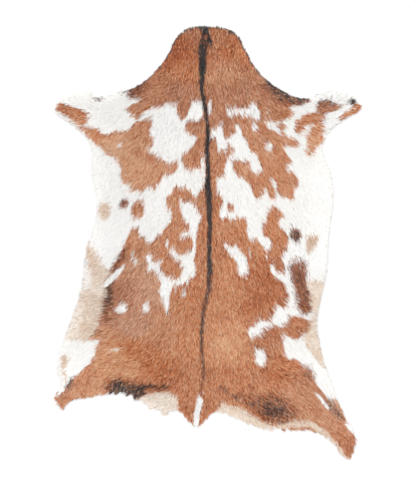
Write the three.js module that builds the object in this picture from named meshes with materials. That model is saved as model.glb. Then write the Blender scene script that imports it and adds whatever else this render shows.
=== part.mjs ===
// A goatskin rug: one tanned hide, cut open along the belly and spread flat with its hair side up.
// Millimetres, +Z up. X runs across the hide, +Y points to the neck, and Z = 0 is the surface it lies on.
// The skin and its combed coat are one solid: a low, lumpy slab that thins to its rim, where the hair parts
// into locks. The underside lies flat on the floor, apart from its outer strip, which curls up to the rim.
import * as THREE from 'three';

// Thickness of the skin with its lying coat
const skinThickness = 1.6;
const backPile = 5.2;
const bellyPile = 2.6;
const legPile = 3.4;
const rimThickness = 1.5;
const rimRounding = 17;

// Half width of the well covered back, and how far out the hair has thinned to the belly's
const backHalfWidth = 150;
const bellyHalfWidth = 245;

// Where the fore and hind leg flaps begin along Y, how far on they are fully leg, and how far out from the
// spine the hair begins to lie along the leg
const shoulderLine = 215;
const haunchLine = -250;
const legRun = 60;
const legRoot = 120;

// How steeply the hair turns from the back's way, straight down to the tail, to the flank's and the leg's
const flankSlope = 0.8;
const legSlope = 1.8;
const legRise = 0.1;

// Locks at the rim, one after the other all the way round, with how far their tips lean the way the hair lies
// and how much they differ in size and place
const lockPitch = 12.5;
const lockLean = 0.6;
const lockVariation = 0.5;
const lockShift = 0.22;
const lockSeed = 3;
const rimDivisions = 2400;

// Inner points of the coat's surface and of the floor side, and how far they keep from the line round them
const coatSpacing = 14.5;
const coatMargin = 8;
const underSpacing = 32;
const underMargin = 12;
const unevenness = 0.16;
const latticeSeed = 7;

// How far in from the rim the coat still follows its lift
const curlWidth = 28;

// The rim, clockwise from the crown of the neck. lock is how far the hair hangs over there, and lift how far
// the rim stands off the floor.
const rim = [
  { at: 'crown of the neck', x: -1, y: 435, lock: 1.0, lift: 0 },
  { at: 'crown, right', x: 34, y: 431, lock: 1.0, lift: 0.5 },
  { at: 'neck corner, right', x: 61, y: 414, lock: 1.0, lift: 1.5 },
  { at: 'neck, right', x: 76, y: 384, lock: 1.0, lift: 1.5 },
  { at: 'neck, right, low', x: 110, y: 333, lock: 1.0, lift: 1.0 },
  { at: 'neck foot, right', x: 160, y: 299, lock: 2.0, lift: 1.0 },
  { at: 'right fore leg, root', x: 196, y: 289, lock: 3.0, lift: 1.0 },
  { at: 'right fore leg, tuft', x: 229, y: 300, lock: 6.0, lift: 1.5 },
  { at: 'right fore leg, top', x: 257, y: 306, lock: 7.0, lift: 2.5 },
  { at: 'right fore leg, bend', x: 287, y: 294, lock: 5.0, lift: 3.0 },
  { at: 'right fore leg, tip', x: 307, y: 268, lock: 3.0, lift: 3.5 },
  { at: 'right fore leg, under', x: 277, y: 248, lock: 3.0, lift: 2.5 },
  { at: 'right fore leg, inner', x: 247, y: 223, lock: 3.0, lift: 1.5 },
  { at: 'right armpit', x: 229, y: 188, lock: 2.0, lift: 1.0 },
  { at: 'right flank, top', x: 245, y: 145, lock: 1.2, lift: 1.5 },
  { at: 'right flank, widest', x: 251, y: 86, lock: 1.0, lift: 2.5 },
  { at: 'right flank', x: 243, y: 20, lock: 1.2, lift: 2.0 },
  { at: 'right flank, low', x: 238, y: -60, lock: 1.2, lift: 2.5 },
  { at: 'right waist', x: 220, y: -156, lock: 1.0, lift: 2.0 },
  { at: 'right haunch', x: 230, y: -226, lock: 1.2, lift: 1.5 },
  { at: 'right hind leg, outer', x: 251, y: -286, lock: 1.5, lift: 1.5 },
  { at: 'right hind leg, shank', x: 274, y: -346, lock: 1.5, lift: 2.5 },
  { at: 'right hind leg, knee', x: 292, y: -374, lock: 2.0, lift: 3.0 },
  { at: 'right hind leg, foot', x: 295, y: -408, lock: 2.0, lift: 3.5 },
  { at: 'right hind leg, tip', x: 281, y: -434, lock: 4.0, lift: 3.0 },
  { at: 'right hind leg, back', x: 264, y: -421, lock: 4.0, lift: 2.5 },
  { at: 'right hind leg, inner', x: 246, y: -398, lock: 4.0, lift: 1.5 },
  { at: 'right hind leg, crotch', x: 216, y: -380, lock: 4.0, lift: 1.0 },
  { at: 'rump, right', x: 156, y: -375, lock: 5.0, lift: 1.0 },
  { at: 'rump, cream hair', x: 98, y: -371, lock: 5.0, lift: 1.0 },
  { at: 'tail, right', x: 52, y: -350, lock: 3.0, lift: 1.0 },
  { at: 'tail root, right', x: 14, y: -340, lock: 2.0, lift: 1.0 },
  { at: 'tail point', x: -23, y: -369, lock: 1.5, lift: 1.5 },
  { at: 'tail root, left', x: -60, y: -337, lock: 2.0, lift: 1.0 },
  { at: 'tail, left', x: -84, y: -341, lock: 4.0, lift: 1.0 },
  { at: 'rump, left', x: -126, y: -324, lock: 6.0, lift: 1.0 },
  { at: 'rump, black hair', x: -172, y: -302, lock: 6.0, lift: 1.0 },
  { at: 'left hind leg, inner', x: -226, y: -308, lock: 2.5, lift: 1.5 },
  { at: 'left hind leg, back', x: -276, y: -319, lock: 3.0, lift: 2.5 },
  { at: 'left hind leg, tip', x: -290, y: -335, lock: 3.0, lift: 3.5 },
  { at: 'left hind leg, foot', x: -307, y: -311, lock: 2.5, lift: 3.5 },
  { at: 'left hind leg, ankle', x: -295, y: -288, lock: 1.5, lift: 3.0 },
  { at: 'left hind leg, shank', x: -303, y: -246, lock: 1.5, lift: 2.5 },
  { at: 'left hind leg, outer', x: -283, y: -176, lock: 1.5, lift: 1.5 },
  { at: 'left waist', x: -256, y: -96, lock: 1.0, lift: 2.0 },
  { at: 'left flank, low', x: -246, y: -22, lock: 1.0, lift: 2.5 },
  { at: 'left flank', x: -227, y: 42, lock: 1.0, lift: 2.0 },
  { at: 'left flank, narrowest', x: -223, y: 76, lock: 1.0, lift: 1.0 },
  { at: 'left flank, top', x: -234, y: 140, lock: 1.0, lift: 1.5 },
  { at: 'left armpit', x: -235, y: 192, lock: 1.5, lift: 1.0 },
  { at: 'left fore leg, inner', x: -258, y: 223, lock: 2.0, lift: 1.5 },
  { at: 'left fore leg, under', x: -302, y: 257, lock: 2.0, lift: 3.0 },
  { at: 'left fore leg, tip', x: -305, y: 271, lock: 3.0, lift: 3.5 },
  { at: 'left fore leg, bend', x: -285, y: 289, lock: 4.0, lift: 3.0 },
  { at: 'left fore leg, tuft', x: -238, y: 305, lock: 7.0, lift: 2.0 },
  { at: 'left fore leg, nick', x: -222, y: 292, lock: 2.0, lift: 1.5 },
  { at: 'left fore leg, root', x: -178, y: 302, lock: 2.0, lift: 1.0 },
  { at: 'neck foot, left', x: -141, y: 314, lock: 1.5, lift: 1.0 },
  { at: 'neck, left, low', x: -100, y: 349, lock: 1.0, lift: 1.0 },
  { at: 'neck, left', x: -79, y: 378, lock: 1.0, lift: 1.5 },
  { at: 'neck corner, left', x: -62, y: 413, lock: 1.0, lift: 1.5 },
  { at: 'crown, left', x: -37, y: 431, lock: 1.0, lift: 0.5 },
];

// The line within which the hide lies on the floor, clockwise from the neck. The neck and the four legs are
// its five outermost points.
const floorLine = [
  { at: 'neck', x: 0, y: 415 },
  { at: 'neck, right', x: 48, y: 372 },
  { at: 'neck foot, right', x: 122, y: 287 },
  { at: 'right fore leg, top', x: 214, y: 266 },
  { at: 'right fore leg', x: 282, y: 267 },
  { at: 'right fore leg, inner', x: 230, y: 240 },
  { at: 'right armpit', x: 206, y: 188 },
  { at: 'right flank', x: 226, y: 86 },
  { at: 'right flank, low', x: 214, y: -60 },
  { at: 'right waist', x: 196, y: -156 },
  { at: 'right hind leg, outer', x: 224, y: -284 },
  { at: 'right hind leg', x: 272, y: -404 },
  { at: 'right crotch', x: 204, y: -344 },
  { at: 'rump, right', x: 98, y: -340 },
  { at: 'tail', x: -22, y: -316 },
  { at: 'rump, left', x: -120, y: -290 },
  { at: 'left crotch', x: -200, y: -274 },
  { at: 'left hind leg', x: -284, y: -306 },
  { at: 'left hind leg, outer', x: -262, y: -190 },
  { at: 'left waist', x: -232, y: -92 },
  { at: 'left flank', x: -202, y: 62 },
  { at: 'left flank, top', x: -212, y: 168 },
  { at: 'left fore leg, inner', x: -238, y: 236 },
  { at: 'left fore leg', x: -282, y: 266 },
  { at: 'left fore leg, top', x: -212, y: 272 },
  { at: 'neck foot, left', x: -118, y: 300 },
  { at: 'neck, left', x: -54, y: 366 },
];

// Broad swells and hollows of the coat. length and width are half lengths, turn is the swell's angle from the
// X axis in degrees, and a negative height is a hollow.
const swells = [
  { at: 'dorsal ridge', x: -4, y: 40, length: 380, width: 13, turn: 90, height: 1.0 },
  { at: 'neck hollow', x: -10, y: 372, length: 60, width: 16, turn: 4, height: -0.8 },
  { at: 'left shoulder', x: -120, y: 225, length: 70, width: 26, turn: 38, height: 0.9 },
  { at: 'right shoulder', x: 110, y: 235, length: 75, width: 26, turn: -40, height: 0.9 },
  { at: 'left haunch crease', x: -160, y: -235, length: 75, width: 11, turn: -14, height: 1.3 },
  { at: 'left haunch dip', x: -150, y: -262, length: 70, width: 12, turn: -14, height: -0.9 },
  { at: 'right haunch whorl', x: 160, y: -246, length: 26, width: 20, turn: 0, height: -1.1 },
  { at: 'right haunch crease', x: 185, y: -285, length: 80, width: 14, turn: -52, height: 1.2 },
  { at: 'left loin fold', x: -205, y: -120, length: 90, width: 14, turn: 74, height: 0.9 },
  { at: 'right loin fold', x: 196, y: -105, length: 85, width: 14, turn: -72, height: 0.9 },
];

// Crossing waves that make the coat lumpy: the angle they run at from the X axis, in degrees, their length,
// their height and how far along they start
const lumps = [
  { turn: 17, length: 149, height: 0.3, start: 10 },
  { turn: 104, length: 113, height: 0.32, start: 35 },
  { turn: 61, length: 83, height: 0.26, start: 4 },
  { turn: 142, length: 67, height: 0.24, start: 51 },
  { turn: 88, length: 47, height: 0.2, start: 22 },
  { turn: 33, length: 41, height: 0.16, start: 7 },
];

const fullTurn = 2 * Math.PI;
const swapMargin = 1e-6;

function smooth(low, high, value) {
  return THREE.MathUtils.smoothstep(value, low, high);
}

// The way the hair lies: from the neck to the tail, and out to the flanks and down the legs
function hairFlow(x, y) {
  const outward = Math.sign(x) * smooth(0, bellyHalfWidth, Math.abs(x));
  const toLegTip = smooth(legRoot, bellyHalfWidth, Math.abs(x));
  const alongLeg = toLegTip * smooth(shoulderLine - legRun, shoulderLine + legRun, y);
  const slope = THREE.MathUtils.lerp(flankSlope, legSlope, alongLeg);
  const rise = THREE.MathUtils.lerp(-1, legRise, alongLeg);
  return new THREE.Vector2(outward * slope, rise).normalize();
}

// The rim as a smooth closed line, with each row's lock and lift carried along it
const rimStations = rim.map(({ x, y }) => new THREE.Vector3(x, y, 0));
const rimLine = new THREE.CatmullRomCurve3(rimStations, true, 'centripetal');
rimLine.arcLengthDivisions = rimDivisions;

function rimAt(share) {
  const t = rimLine.getUtoTmapping(((share % 1) + 1) % 1);
  const point = rimLine.getPoint(t);
  const tangent = rimLine.getTangent(t);
  const row = Math.floor(t * rim.length) % rim.length;
  const next = (row + 1) % rim.length;
  const part = t * rim.length - Math.floor(t * rim.length);
  return {
    point: new THREE.Vector2(point.x, point.y),
    onward: new THREE.Vector2(tangent.x, tangent.y).normalize(),
    outward: new THREE.Vector2(-tangent.y, tangent.x).normalize(),
    lock: THREE.MathUtils.lerp(rim[row].lock, rim[next].lock, part),
    lift: THREE.MathUtils.lerp(rim[row].lift, rim[next].lift, part),
  };
}

// Each lock is a parting, a shoulder and a tip. along is its share of the pitch, in the way the hair lies.
const lockProfile = [
  { at: 'parting', along: 0.0, out: -0.6 },
  { at: 'shoulder', along: 0.3, out: 0.3 },
  { at: 'tip', along: 0.62, out: 0.85 },
];

function rimPoints() {
  THREE.MathUtils.seededRandom(lockSeed);
  const vary = (amount) => (THREE.MathUtils.seededRandom() - 0.5) * 2 * amount;
  const lockCount = Math.round(rimLine.getLength() / lockPitch);
  const points = [];
  for (let lock = 0; lock < lockCount; lock += 1) {
    const middleOfLock = rimAt((lock + 0.5) / lockCount);
    const way = hairFlow(middleOfLock.point.x, middleOfLock.point.y);
    const onward = way.dot(middleOfLock.onward) > 0;
    const size = middleOfLock.lock * (1 + vary(lockVariation));
    const shift = vary(lockShift);
    for (const { along, out } of onward ? lockProfile : lockProfile.toReversed()) {
      const place = rimAt((lock + shift + (onward ? along : 1 - along)) / lockCount);
      const reach = place.outward.clone().addScaledVector(way, lockLean).multiplyScalar(size * out);
      points.push({ x: place.point.x + reach.x, y: place.point.y + reach.y, lift: place.lift });
    }
  }
  return points;
}

// The origin is under the middle of the rim's box
const drawnRim = rimPoints();
const middle = new THREE.Box2().setFromPoints(drawnRim).getCenter(new THREE.Vector2());
const rimLoop = drawnRim.map(({ x, y, lift }) => ({ x: x - middle.x, y: y - middle.y, lift }));
const floorLoop = floorLine.map(({ x, y }) => ({ x, y, lift: 0 }));

// How far in from a closed line a point lies, below zero outside it, and the line's lift there
function depthIn(loop, x, y) {
  let nearest = loop[0];
  let shortest = Infinity;
  let inside = false;
  loop.forEach((a, index) => {
    const b = loop[(index + 1) % loop.length];
    const [runX, runY] = [b.x - a.x, b.y - a.y];
    const share = ((x - a.x) * runX + (y - a.y) * runY) / (runX ** 2 + runY ** 2);
    const along = THREE.MathUtils.clamp(share, 0, 1);
    const distance = Math.hypot(a.x + along * runX - x, a.y + along * runY - y);
    if (distance < shortest) {
      shortest = distance;
      nearest = a;
    }
    if ((a.y > y) !== (b.y > y) && x < (runX * (y - a.y)) / runY + a.x) {
      inside = !inside;
    }
  });
  return { depth: inside ? shortest : -shortest, lift: nearest.lift };
}

function swellHeight(x, y) {
  let sum = 0;
  for (const swell of swells) {
    const turn = THREE.MathUtils.degToRad(swell.turn);
    const along = ((x - swell.x) * Math.cos(turn) + (y - swell.y) * Math.sin(turn)) / swell.length;
    const across = ((y - swell.y) * Math.cos(turn) - (x - swell.x) * Math.sin(turn)) / swell.width;
    sum += swell.height * Math.exp(-(along ** 4) - across ** 2);
  }
  return sum;
}

function lumpHeight(x, y) {
  let sum = 0;
  for (const { turn, length, height, start } of lumps) {
    const angle = THREE.MathUtils.degToRad(turn);
    sum += height * Math.sin((fullTurn * (x * Math.cos(angle) + y * Math.sin(angle) + start)) / length);
  }
  return sum;
}

// Thickness of skin and coat, and the height of the rim's curl, at a point that deep in from the rim
function coatThickness(x, y, depth) {
  const toBelly = smooth(backHalfWidth, bellyHalfWidth, Math.abs(x));
  const toForeLeg = smooth(shoulderLine, shoulderLine + legRun, y);
  const toHindLeg = smooth(-haunchLine, legRun - haunchLine, -y);
  const toLeg = Math.max(toForeLeg, toHindLeg) * toBelly;
  const pile = THREE.MathUtils.lerp(THREE.MathUtils.lerp(backPile, bellyPile, toBelly), legPile, toLeg);
  const full = skinThickness + pile + swellHeight(x, y) + lumpHeight(x, y);
  const rounding = Math.sqrt(smooth(0, rimRounding, depth));
  return THREE.MathUtils.lerp(rimThickness, full, rounding);
}

function curl(lift, depth) {
  return lift * Math.max(0, 1 - depth / curlWidth) ** 2;
}

// A slightly uneven triangular lattice whose points all lie the margin in from a closed line, less what hangs
// on by one point
function latticePatch(loop, spacing, margin) {
  THREE.MathUtils.seededRandom(latticeSeed);
  const stray = () => (THREE.MathUtils.seededRandom() - 0.5) * 2 * unevenness;
  const rowHeight = (spacing * Math.sqrt(3)) / 2;
  const reachX = Math.ceil(Math.max(...loop.map(({ x }) => Math.abs(x))) / spacing);
  const reachY = Math.ceil(Math.max(...loop.map(({ y }) => Math.abs(y))) / rowHeight);
  const points = [];
  const indexOf = new Map();
  for (let row = -reachY; row <= reachY; row += 1) {
    for (let column = -reachX; column <= reachX; column += 1) {
      const x = (column + (row & 1) / 2 + stray()) * spacing;
      const y = (row + stray()) * rowHeight;
      const { depth, lift } = depthIn(loop, x, y);
      if (depth > margin) {
        indexOf.set(`${column},${row}`, points.length);
        points.push({ x, y, depth, lift });
      }
    }
  }
  let triangles = [];
  for (const key of indexOf.keys()) {
    const [column, row] = key.split(',').map(Number);
    const odd = row & 1;
    const corners = {
      here: indexOf.get(key),
      right: indexOf.get(`${column + 1},${row}`),
      upLeft: indexOf.get(`${column + odd - 1},${row + 1}`),
      upRight: indexOf.get(`${column + odd},${row + 1}`),
    };
    if (corners.right !== undefined && corners.upRight !== undefined) {
      triangles.push([corners.here, corners.right, corners.upRight]);
    }
    if (corners.upLeft !== undefined && corners.upRight !== undefined) {
      triangles.push([corners.here, corners.upRight, corners.upLeft]);
    }
  }
  let pinches = [0];
  while (pinches.length > 0) {
    const leaving = borderEdges(triangles).map(([from]) => from);
    pinches = leaving.filter((from, index) => leaving.indexOf(from) !== index);
    triangles = triangles.filter((corners) => !corners.some((corner) => pinches.includes(corner)));
  }
  return { points, triangles, loops: borderLoops(triangles) };
}

// Edges that only one triangle has, in that triangle's direction
function borderEdges(triangles) {
  const edges = new Map();
  for (const [a, b, c] of triangles) {
    for (const [from, to] of [[a, b], [b, c], [c, a]]) {
      if (!edges.delete(`${to},${from}`)) {
        edges.set(`${from},${to}`, [from, to]);
      }
    }
  }
  return [...edges.values()];
}

function borderLoops(triangles) {
  const next = new Map(borderEdges(triangles));
  const loops = [];
  while (next.size > 0) {
    const loop = [];
    let corner = next.keys().next().value;
    while (next.has(corner)) {
      loop.push(corner);
      const following = next.get(corner);
      next.delete(corner);
      corner = following;
    }
    loops.push(loop);
  }
  return loops;
}

// Twice the area of a triangle, above zero where it turns anticlockwise
function turning(a, b, c) {
  return (b.x - a.x) * (c.y - a.y) - (b.y - a.y) * (c.x - a.x);
}

function angleAt(apex, a, b) {
  const dot = (a.x - apex.x) * (b.x - apex.x) + (a.y - apex.y) * (b.y - apex.y);
  return Math.atan2(Math.abs(turning(apex, a, b)), dot);
}

// Swaps the shared side of two triangles wherever the other diagonal makes them less long and thin
function evenOut(points, triangles) {
  let swaps = 1;
  while (swaps > 0) {
    swaps = 0;
    const owner = new Map();
    triangles.forEach((corners, number) => {
      corners.forEach((from, side) => owner.set(`${from},${corners[(side + 1) % 3]}`, number));
    });
    const changed = new Set();
    for (const [side, near] of owner) {
      const [from, to] = side.split(',').map(Number);
      const far = owner.get(`${to},${from}`);
      if (far === undefined || changed.has(near) || changed.has(far)) {
        continue;
      }
      const nearApex = triangles[near].find((corner) => corner !== from && corner !== to);
      const farApex = triangles[far].find((corner) => corner !== from && corner !== to);
      const angles = [nearApex, farApex].map((apex) => angleAt(points[apex], points[from], points[to]));
      if (angles[0] + angles[1] > Math.PI + swapMargin) {
        triangles[near] = [nearApex, from, farApex];
        triangles[far] = [farApex, to, nearApex];
        changed.add(near).add(far);
        swaps += 1;
      }
    }
  }
}

// Fills the strip between a closed line and the lines within it, all given as corners of points
function fillStrip(points, outer, inner) {
  const flat = (loop) => loop.map((corner) => new THREE.Vector2(points[corner].x, points[corner].y));
  const ringIndex = [...outer, ...inner.flat()];
  const strip = THREE.ShapeUtils.triangulateShape(flat(outer), inner.map(flat));
  return strip.map((corners) => {
    const [a, b, c] = corners.map((corner) => ringIndex[corner]);
    return turning(points[a], points[b], points[c]) > 0 ? [a, b, c] : [a, c, b];
  });
}

// One face of the hide: closed lines one inside the other, the outermost first, and a lattice in the last.
// Every triangle turns anticlockwise seen from above.
function fillFace(lines, spacing, margin) {
  const patch = latticePatch(lines.at(-1), spacing, margin);
  const points = [...lines.flat(), ...patch.points];
  const shift = lines.flat().length;
  const rings = [];
  lines.forEach((line) => {
    const start = rings.flat().length;
    rings.push(line.map((point, corner) => start + corner));
  });
  const triangles = patch.triangles.map((corners) => corners.map((corner) => shift + corner));
  const innermost = patch.loops.map((loop) => loop.map((corner) => shift + corner));
  rings.forEach((ring, number) => {
    const within = number + 1 < rings.length ? [rings[number + 1]] : innermost;
    triangles.push(...fillStrip(points, ring, within));
  });
  evenOut(points, triangles);
  return { points, triangles };
}

function buildHide() {
  const coat = fillFace([rimLoop], coatSpacing, coatMargin);
  const under = fillFace([rimLoop, floorLoop], underSpacing, underMargin);
  const positions = [];
  const index = [];

  coat.points.forEach(({ x, y, lift, depth }) => {
    const onRim = depth === undefined;
    positions.push(x, y, onRim ? lift + rimThickness : coatThickness(x, y, depth) + curl(lift, depth));
  });
  coat.triangles.forEach((corners) => index.push(...corners));

  const underStart = coat.points.length;
  under.points.forEach(({ x, y, lift }) => positions.push(x, y, lift));
  under.triangles.forEach(([a, b, c]) => index.push(underStart + a, underStart + c, underStart + b));

  // The rim runs clockwise, so these walls face outwards
  rimLoop.forEach((point, here) => {
    const next = (here + 1) % rimLoop.length;
    index.push(here, underStart + next, underStart + here);
    index.push(here, next, underStart + next);
  });

  const geometry = new THREE.BufferGeometry();
  geometry.setAttribute('position', new THREE.Float32BufferAttribute(positions, 3));
  geometry.setIndex(index);
  geometry.computeVertexNormals();
  return geometry;
}

const coatMaterial = new THREE.MeshStandardMaterial({ color: '#bd7a56', roughness: 0.92, metalness: 0 });

const goatskin = new THREE.Mesh(buildHide(), coatMaterial);
goatskin.name = 'goatskin';

const group = new THREE.Group();
group.add(goatskin);

export default group;
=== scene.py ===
import math

import bpy
import numpy as np
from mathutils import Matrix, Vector
from mathutils.bvhtree import BVHTree


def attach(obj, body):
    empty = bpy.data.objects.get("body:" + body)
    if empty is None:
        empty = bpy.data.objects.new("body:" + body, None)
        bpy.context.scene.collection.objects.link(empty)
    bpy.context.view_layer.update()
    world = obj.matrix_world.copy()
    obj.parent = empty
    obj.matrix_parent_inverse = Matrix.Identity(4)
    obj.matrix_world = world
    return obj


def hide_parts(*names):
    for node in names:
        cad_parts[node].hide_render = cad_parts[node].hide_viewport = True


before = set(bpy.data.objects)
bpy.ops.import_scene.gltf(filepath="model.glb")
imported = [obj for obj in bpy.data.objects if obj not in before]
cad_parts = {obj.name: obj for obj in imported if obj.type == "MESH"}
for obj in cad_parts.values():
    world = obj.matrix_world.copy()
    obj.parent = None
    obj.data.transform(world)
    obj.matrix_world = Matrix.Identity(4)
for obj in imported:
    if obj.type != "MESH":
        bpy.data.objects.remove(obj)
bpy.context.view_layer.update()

mm = 0.001                      # all tables below are in millimetres
chance = np.random.default_rng(41)


# the hide's shape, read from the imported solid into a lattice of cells
hide = {
    "cell": 2.0,
    "left": -324.0,
    "bottom": -450.0,
    "columns": 325,
    "rows": 451,
    "probeFrom": 50.0,          # the rays start this far above and below
    "cellsPastRim": 8,          # heights are carried this far past the rim
    "softRounds": 6,            # smoothing of the distance to the rim
    "rimRounds": 14,            # the same for the line at which hairs are cut short
}


def readHide():
    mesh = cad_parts["goatskin"].data
    corners = [v.co.copy() for v in mesh.vertices]
    tree = BVHTree.FromPolygons(corners, [tuple(p.vertices) for p in mesh.polygons])
    high = np.zeros((hide["rows"], hide["columns"]))
    low = np.zeros_like(high)
    inside = np.zeros(high.shape, bool)
    start = hide["probeFrom"] * mm
    up, down = Vector((0, 0, 1)), Vector((0, 0, -1))
    for r in range(hide["rows"]):
        y = (hide["bottom"] + r * hide["cell"]) * mm
        for c in range(hide["columns"]):
            x = (hide["left"] + c * hide["cell"]) * mm
            hit = tree.ray_cast(Vector((x, y, start)), down)[0]
            if hit is None:
                continue
            under = tree.ray_cast(Vector((x, y, -start)), up)[0]
            inside[r, c] = True
            high[r, c] = hit.z / mm
            low[r, c] = under.z / mm if under is not None else 0.0
    return inside, high, low


def fourSides(field):
    # the field as each cell's four neighbours see it
    return [np.roll(field, step, axis) for axis, step in ((0, 1), (0, -1), (1, 1), (1, -1))]


def rimDepth(inside):
    # distance to the rim in mm, negative outside
    edge = inside & ~np.logical_and.reduce(fourSides(inside))
    er, ec = [cells.astype(np.float32) for cells in np.nonzero(edge)]
    rows, columns = [cells.ravel().astype(np.float32) for cells in np.indices(inside.shape)]
    nearest = np.empty(rows.size, np.float32)
    for start in range(0, rows.size, 4000):
        part = slice(start, start + 4000)
        away = (rows[part, None] - er[None, :]) ** 2
        away += (columns[part, None] - ec[None, :]) ** 2
        nearest[part] = np.sqrt(away.min(axis=1))
    depth = nearest.reshape(inside.shape) * hide["cell"]
    return np.where(inside, depth + 0.5, -depth)


def growOut(field, inside):
    # carries heights a little past the rim, so hair tips there have a height too
    known = inside.copy()
    field = field.copy()
    for _ in range(hide["cellsPastRim"]):
        total = np.zeros_like(field)
        number = np.zeros_like(field)
        for near, value in zip(fourSides(known), fourSides(field)):
            total += np.where(near, value, 0)
            number += near
        fresh = ~known & (number > 0)
        field[fresh] = total[fresh] / number[fresh]
        known |= fresh
    return field


def soften(field, rounds):
    for _ in range(rounds):
        total = field * 2
        for value in fourSides(field):
            total = total + value
        field = total / 6
    return field


def sample(field, x, y):
    # the field's value at any place, between its cells
    u = np.clip((x - hide["left"]) / hide["cell"], 0, hide["columns"] - 1.001)
    v = np.clip((y - hide["bottom"]) / hide["cell"], 0, hide["rows"] - 1.001)
    c, r = u.astype(int), v.astype(int)
    fu, fv = u - c, v - r
    lower = field[r, c] * (1 - fu) + field[r, c + 1] * fu
    upper = field[r + 1, c] * (1 - fu) + field[r + 1, c + 1] * fu
    return lower * (1 - fv) + upper * fv


inside, topHeight, lowHeight = readHide()
depth = rimDepth(inside)
topHeight = growOut(topHeight, inside)
lowHeight = growOut(lowHeight, inside)
rimSoft = soften(depth, hide["rimRounds"])
slopeY, slopeX = np.gradient(soften(depth, hide["softRounds"]), hide["cell"])
print("hide read:", int(inside.sum()), "cells inside, deepest", round(float(depth.max())), "mm from the rim")


# which way the hair lies
# x, y, lean in degrees from straight down the back towards +X
hairLie = [
    (0,426, 0), (-47,366, -8), (47,366, 8), (0,336, 0), (-101,306, -38), (127,300, 50), (0,266, 0),
    (-57,266, -15), (63,266, 18), (-147,296, -65), (-197,276, -80), (-233,300, -140), (-257,270, -85),
    (-287,278, -80), (-247,236, -60), (-140,306, -62), (-187,226, -50), (-221,206, -40), (-207,166, -35),
    (-217,106, -38), (-157,126, -32), (-87,186, -18), (-87,86, -15), (-27,126, -4), (-217,36, -42),
    (-137,16, -28), (-67,-14, -12), (-27,-34, -3), (-227,-34, -55), (-237,-114, -80), (-211,-144, -80),
    (-147,-94, -30), (-77,-134, -15), (-137,-174, -35), (-167,-234, -75), (-207,-244, -70), (-117,-244, -40),
    (-67,-254, -20), (-267,-204, -40), (-267,-274, -30), (-297,-304, -35), (-227,-298, -30),
    (-167,-290, -50), (-104,-318, -60), (-27,-314, -5), (-11,-214, 0), (157,290, 64), (188,290, 72),
    (203,282, 100), (226,300, 125), (203,256, 75), (253,292, 140), (263,266, 95), (299,270, 100),
    (253,240, 70), (189,200, 47), (173,226, 50), (233,186, 35), (237,106, 10), (243,6, 8), (163,156, 40),
    (73,156, 20), (33,86, 10), (103,66, 25), (183,66, 25), (63,-24, 15), (143,-14, 25), (203,-54, 20),
    (27,-94, 5), (93,-94, 18), (157,-124, 45), (203,-154, 80), (219,-104, 40), (53,-194, 12), (123,-194, 30),
    (183,-204, 50), (223,-214, 30), (163,-246, 70), (193,-274, 50), (243,-314, 35), (283,-394, 25),
    (219,-334, 45), (123,-324, 50), (63,-344, 20), (43,-284, 12), (113,-274, 35),
]


def blendAnchors(table, x, y):
    # each place takes the mean of the rows' values, nearest ones counting most
    values = np.ascontiguousarray(table[:, 2:])
    out = np.zeros((values.shape[1], x.size))
    for start in range(0, x.size, 20000):
        part = slice(start, start + 20000)
        away = (x[part, None] - table[None, :, 0]) ** 2 + (y[part, None] - table[None, :, 1]) ** 2
        weight = 1 / (away + 60.0) ** 2
        weight /= weight.sum(axis=1, keepdims=True)
        out[:, part] = (weight @ values).T
    return out


def hairLean(x, y):
    atX, atY, lean = np.array(hairLie, float).T
    lean = np.radians(lean)
    dx, dy = blendAnchors(np.stack([atX, atY, np.sin(lean), -np.cos(lean)], axis=1), x, y)
    return np.arctan2(dx, -dy)


def wave(x, y, size, seed):
    # slow, smooth unevenness between about -1 and 1
    turn = np.random.default_rng(seed).uniform(0, 2 * math.pi, (7, 2))
    total = np.zeros_like(x)
    for k, (way, shift) in enumerate(turn):
        f = 2 * math.pi / size * (0.6 + 0.17 * k)
        total += np.sin((x * math.cos(way) + y * math.sin(way)) * f + shift)
    return total / 3.2


# the coat's colours and patches
# x, y, tone (0 dark to 1 pale), warmth (0 dusky to 1 orange) of the brown ground
brownGround = [
    (-20,424, .44, .4), (30,420, .52, .5), (-60,386, .22, 1), (50,386, .46, .9), (-50,340, .56, .8),
    (43,336, .68, .4), (-60,300, .52, .15), (60,300, .5, .2), (-110,300, .58, .4), (110,300, .58, .35),
    (-197,186, 1, .5), (-160,140, .86, .6), (-110,200, .7, .5), (-80,250, .6, .4), (-150,40, .7, .5),
    (-90,60, .68, .55), (-40,100, .6, .7), (-60,-30, .62, .7), (-120,-90, .78, .1), (-150,-170, .75, 0),
    (-180,-110, .5, .1), (-167,-240, .82, .95), (-152,-214, .5, 1), (-105,-248, .45, 1),
    (-200,-234, .82, .8), (-90,-190, .66, .5), (-60,-300, .5, .7), (-40,-100, .6, .8), (-40,-200, .64, .8),
    (43,-214, .86, .9), (34,-92, .66, .8), (63,-274, .52, .8), (150,140, .72, .7), (60,120, .68, .6),
    (110,30, .6, .9), (40,20, .62, .8), (103,-94, .42, .8), (120,-210, .54, .5), (160,-244, .57, .95),
    (130,-256, .52, .9), (-290,262, .64, .7), (-258,240, .68, .9), (-235,218, .68, .9), (250,266, .5, .15),
    (190,222, .66, .9), (214,196, .86, .85), (298,270, .66, .9), (235,-350, .66, .3), (280,-400, .52, .5),
    (-260,-300, .7, .5), (-40,-290, .56, .6), (10,-300, .55, .7), (90,-290, .66, .6), (-120,-320, .6, .5),
    (180,-310, .68, .5), (180,-60, .5, .4), (205,-260, .48, .4), (80,220, .66, .5), (30,250, .55, .3),
]

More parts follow.
